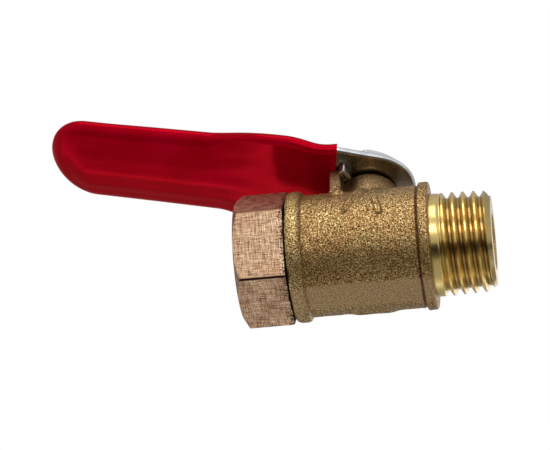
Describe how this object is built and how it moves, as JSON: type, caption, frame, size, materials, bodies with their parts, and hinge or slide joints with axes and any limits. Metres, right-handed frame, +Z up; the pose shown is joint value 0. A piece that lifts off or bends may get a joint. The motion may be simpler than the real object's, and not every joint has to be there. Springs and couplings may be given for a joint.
{
  "type": "ball valve",
  "caption": "Small brass ball valve, female by male pipe thread, with a hexagonal end connector and a bent steel lever dipped in red vinyl.",
  "frame": {"origin": "centre of the ball, where the pipe's axis crosses the stem's axis", "axes": "+X along the pipe towards the male end, +Z up the stem, the lever over -X when open and over -Y when closed"},
  "size_m": [0.0614, 0.019, 0.0343],
  "materials": {
    "cast_brass": "sand-blasted forging, fine sparkling grain",
    "machined_brass": "milled and turned, fine tool marks",
    "chrome_plate": "polished",
    "ptfe": "waxy white",
    "nitrile": "matte black",
    "zinc_steel": "bright zinc plate",
    "red_vinyl": "glossy dipped vinyl"
  },
  "bodies": {
    "housing": {"valve_body": "cast_brass", "end_connector": "machined_brass", "seat_ring_inlet": "ptfe", "seat_ring_outlet": "ptfe", "stem_thrust_washer": "ptfe"},
    "handle": {"stem": "machined_brass", "stem_o_ring_lower": "nitrile", "stem_o_ring_upper": "nitrile", "lever": "zinc_steel", "lever_grip": "red_vinyl", "handle_nut": "zinc_steel"},
    "closure": {"ball": "chrome_plate"}
  },
  "joints": [
    {"name": "lever_turn", "type": "hinge", "parent": "housing", "child": "handle", "pos_m": [0, 0, 0], "axis": [0, 0, 1], "range_deg": [0, 90]},
    {"name": "ball_turn", "type": "hinge", "parent": "housing", "child": "closure", "pos_m": [0, 0, 0], "axis": [0, 0, 1], "range_deg": [0, 90]}
  ],
  "couplings": [
    {"joint": "ball_turn", "follows": "lever_turn", "ratio": 1}
  ]
}
